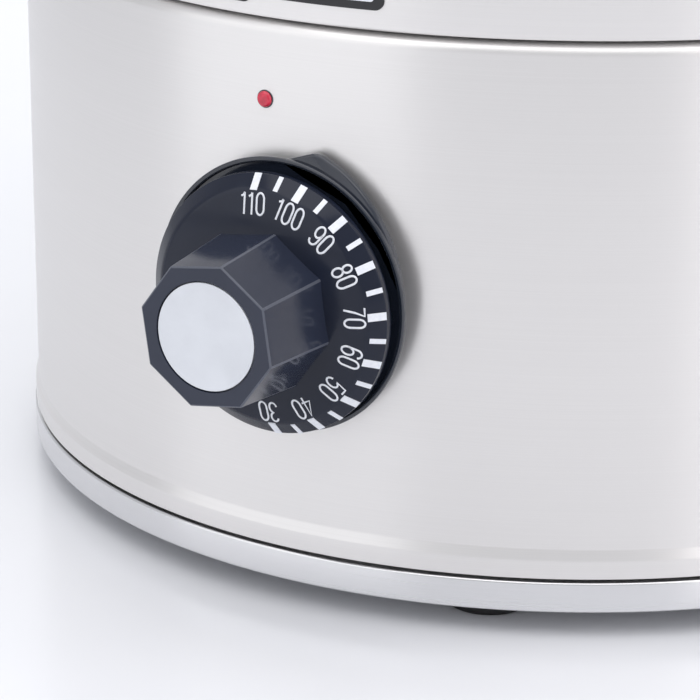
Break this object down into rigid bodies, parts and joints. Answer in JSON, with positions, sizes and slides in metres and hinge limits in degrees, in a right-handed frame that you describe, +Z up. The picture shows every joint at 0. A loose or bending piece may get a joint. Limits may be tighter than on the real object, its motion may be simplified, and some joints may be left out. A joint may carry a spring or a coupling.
{
  "type": "food dehydrator",
  "caption": "Round stainless food dehydrator: a drum base with a numbered temperature dial, a heater ring, stacked lift-off drying trays and a vented lid.",
  "frame": {"origin": "on the resting surface, under the middle of the bounding box", "axes": "+Z up along the drum's axis, -Y towards the dial, +X to the right seen from the front"},
  "size_m": [0.3124, 0.3544, 0.4259],
  "materials": {
    "stainless": "satin, brushed around the axis",
    "bright_steel": "bright rolled",
    "zinc": "zinc plated",
    "copper": "drawn copper",
    "rubber": "matt black",
    "black_plastic": "satin blue-black",
    "white_plastic": "matt",
    "silver_cap": "pale satin",
    "red_lens": "clear red",
    "printed_plate": "black border, blank pale face",
    "red_sleeve": "silicone sleeve",
    "blue_sleeve": "silicone sleeve"
  },
  "bodies": {
    "base": {"drum_shell": "stainless", "bottom_pan": "bright_steel", "foot_1": "rubber", "foot_2": "rubber", "foot_3": "rubber", "foot_4": "rubber", "foot_screw_1": "zinc", "foot_screw_2": "zinc", "foot_screw_3": "zinc", "foot_screw_4": "zinc", "deck_plate": "zinc", "motor_bracket": "zinc", "motor_can": "zinc", "heater_element": "stainless", "element_bracket": "zinc", "thermal_cutout": "white_plastic", "capillary_tube": "copper", "sensor_bulb": "copper", "thermostat_body": "zinc", "bezel_ring": "black_plastic", "lamp_lens": "red_lens", "lamp_body": "white_plastic", "inlet_body": "black_plastic", "inlet_pin_live": "bright_steel", "inlet_pin_neutral": "bright_steel", "inlet_pin_earth": "bright_steel", "inlet_screw_1": "zinc", "inlet_screw_2": "zinc", "switch_frame": "black_plastic", "terminal_block": "white_plastic", "wire_live": "red_sleeve", "wire_neutral": "blue_sleeve", "seal_ring": "rubber", "heater_ring": "stainless", "grille": "bright_steel", "blank_sign": "printed_plate", "blank_plate": "black_plastic"},
    "dial": {"dial_knob": "black_plastic", "dial_cap": "silver_cap", "thermostat_spindle": "zinc"},
    "rocker": {"switch_rocker": "black_plastic"},
    "fan": {"motor_shaft": "bright_steel", "impeller": "zinc", "impeller_nut": "zinc"},
    "tray_1": {"tray_ring_1": "stainless", "tray_floor_1": "bright_steel"},
    "tray_2": {"tray_ring_2": "stainless", "tray_floor_2": "bright_steel"},
    "tray_3": {"tray_ring_3": "stainless", "tray_floor_3": "bright_steel"},
    "tray_4": {"tray_ring_4": "stainless", "tray_floor_4": "bright_steel"},
    "tray_5": {"tray_ring_5": "stainless", "tray_floor_5": "bright_steel"},
    "lid": {"lid_rim": "stainless", "lid_shell": "stainless", "lid_knob": "black_plastic", "lid_knob_screw": "zinc"},
    "shutter": {"vent_shutter": "bright_steel"}
  },
  "joints": [
    {"name": "dial_turn", "type": "hinge", "parent": "base", "child": "dial", "pos_m": [0, -0.1376, 0.0863], "axis": [0, 1, 0], "range_deg": [-180, 22.5]},
    {"name": "rocker_tip", "type": "hinge", "parent": "base", "child": "rocker", "pos_m": [0.07183, 0.15249, 0.055], "axis": [0.8829, -0.4695, 0], "range_deg": [0, 18]},
    {"name": "fan_spin", "type": "hinge", "parent": "base", "child": "fan", "pos_m": [0, 0.0174, 0.165], "axis": [0, 0, 1], "continuous": true},
    {"name": "tray_1_lift", "type": "slide", "parent": "base", "child": "tray_1", "axis": [0, 0, 1], "range_m": [0, 0.06]},
    {"name": "tray_2_lift", "type": "slide", "parent": "tray_1", "child": "tray_2", "axis": [0, 0, 1], "range_m": [0, 0.06]},
    {"name": "tray_3_lift", "type": "slide", "parent": "tray_2", "child": "tray_3", "axis": [0, 0, 1], "range_m": [0, 0.06]},
    {"name": "tray_4_lift", "type": "slide", "parent": "tray_3", "child": "tray_4", "axis": [0, 0, 1], "range_m": [0, 0.06]},
    {"name": "tray_5_lift", "type": "slide", "parent": "tray_4", "child": "tray_5", "axis": [0, 0, 1], "range_m": [0, 0.06]},
    {"name": "lid_lift", "type": "slide", "parent": "tray_5", "child": "lid", "axis": [0, 0, 1], "range_m": [0, 0.06]},
    {"name": "shutter_turn", "type": "hinge", "parent": "lid", "child": "shutter", "pos_m": [0, 0.0174, 0.4], "axis": [0, 0, 1], "range_deg": [0, 22.5]}
  ]
}
